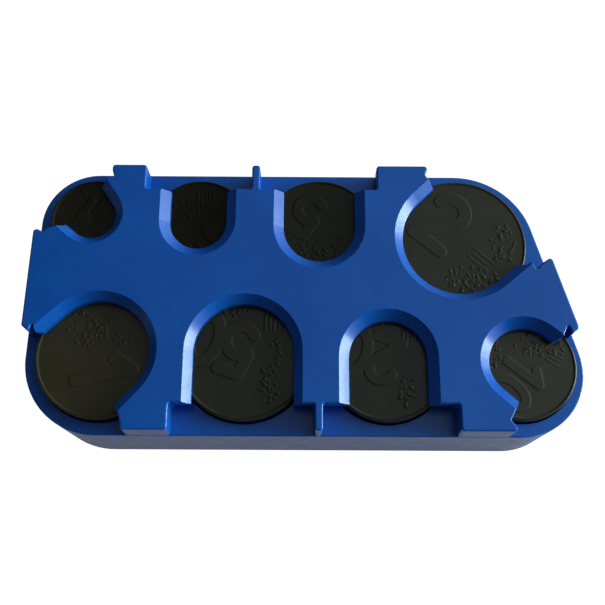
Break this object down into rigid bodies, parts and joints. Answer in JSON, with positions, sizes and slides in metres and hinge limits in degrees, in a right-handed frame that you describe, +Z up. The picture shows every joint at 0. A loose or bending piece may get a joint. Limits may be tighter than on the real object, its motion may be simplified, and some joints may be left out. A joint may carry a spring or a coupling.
{
  "type": "coin holder",
  "caption": "Flat moulded coin holder: round wells with spring-loaded coin-like pushers under a bevelled top plate, coins slide out at the rim.",
  "frame": {"origin": "centre of the footprint on the resting face", "axes": "+X along the long side, +Y from the front row of wells to the back row, +Z up, out of the top plate"},
  "size_m": [0.1058, 0.0529, 0.0237],
  "materials": {
    "housing_blue": "satin moulded blue plastic",
    "pusher_black": "satin black plastic",
    "spring_steel": "bright spring wire",
    "screw_steel": "zinc plated steel"
  },
  "bodies": {
    "holder": {"housing": "housing_blue", "base_cover": "housing_blue", "cover_screws": "screw_steel", "spring_1_euro": "spring_steel", "spring_50_cent": "spring_steel", "spring_20_cent": "spring_steel", "spring_10_cent": "spring_steel", "spring_1_cent": "spring_steel", "spring_2_cent": "spring_steel", "spring_5_cent": "spring_steel", "spring_2_euro": "spring_steel"},
    "pusher_1_euro": {"pusher_1_euro": "pusher_black"},
    "pusher_50_cent": {"pusher_50_cent": "pusher_black"},
    "pusher_20_cent": {"pusher_20_cent": "pusher_black"},
    "pusher_10_cent": {"pusher_10_cent": "pusher_black"},
    "pusher_1_cent": {"pusher_1_cent": "pusher_black"},
    "pusher_2_cent": {"pusher_2_cent": "pusher_black"},
    "pusher_5_cent": {"pusher_5_cent": "pusher_black"},
    "pusher_2_euro": {"pusher_2_euro": "pusher_black"}
  },
  "joints": [
    {"name": "press_1_euro", "type": "slide", "parent": "holder", "child": "pusher_1_euro", "axis": [0, 0, -1], "range_m": [0, 0.012], "stiffness_N_per_m": 100, "springref_m": -0.009, "deforming": ["spring_1_euro"]},
    {"name": "press_50_cent", "type": "slide", "parent": "holder", "child": "pusher_50_cent", "axis": [0, 0, -1], "range_m": [0, 0.012], "stiffness_N_per_m": 100, "springref_m": -0.009, "deforming": ["spring_50_cent"]},
    {"name": "press_20_cent", "type": "slide", "parent": "holder", "child": "pusher_20_cent", "axis": [0, 0, -1], "range_m": [0, 0.012], "stiffness_N_per_m": 100, "springref_m": -0.009, "deforming": ["spring_20_cent"]},
    {"name": "press_10_cent", "type": "slide", "parent": "holder", "child": "pusher_10_cent", "axis": [0, 0, -1], "range_m": [0, 0.012], "stiffness_N_per_m": 100, "springref_m": -0.009, "deforming": ["spring_10_cent"]},
    {"name": "press_1_cent", "type": "slide", "parent": "holder", "child": "pusher_1_cent", "axis": [0, 0, -1], "range_m": [0, 0.012], "stiffness_N_per_m": 100, "springref_m": -0.009, "deforming": ["spring_1_cent"]},
    {"name": "press_2_cent", "type": "slide", "parent": "holder", "child": "pusher_2_cent", "axis": [0, 0, -1], "range_m": [0, 0.012], "stiffness_N_per_m": 100, "springref_m": -0.009, "deforming": ["spring_2_cent"]},
    {"name": "press_5_cent", "type": "slide", "parent": "holder", "child": "pusher_5_cent", "axis": [0, 0, -1], "range_m": [0, 0.012], "stiffness_N_per_m": 100, "springref_m": -0.009, "deforming": ["spring_5_cent"]},
    {"name": "press_2_euro", "type": "slide", "parent": "holder", "child": "pusher_2_euro", "axis": [0, 0, -1], "range_m": [0, 0.012], "stiffness_N_per_m": 100, "springref_m": -0.009, "deforming": ["spring_2_euro"]}
  ]
}
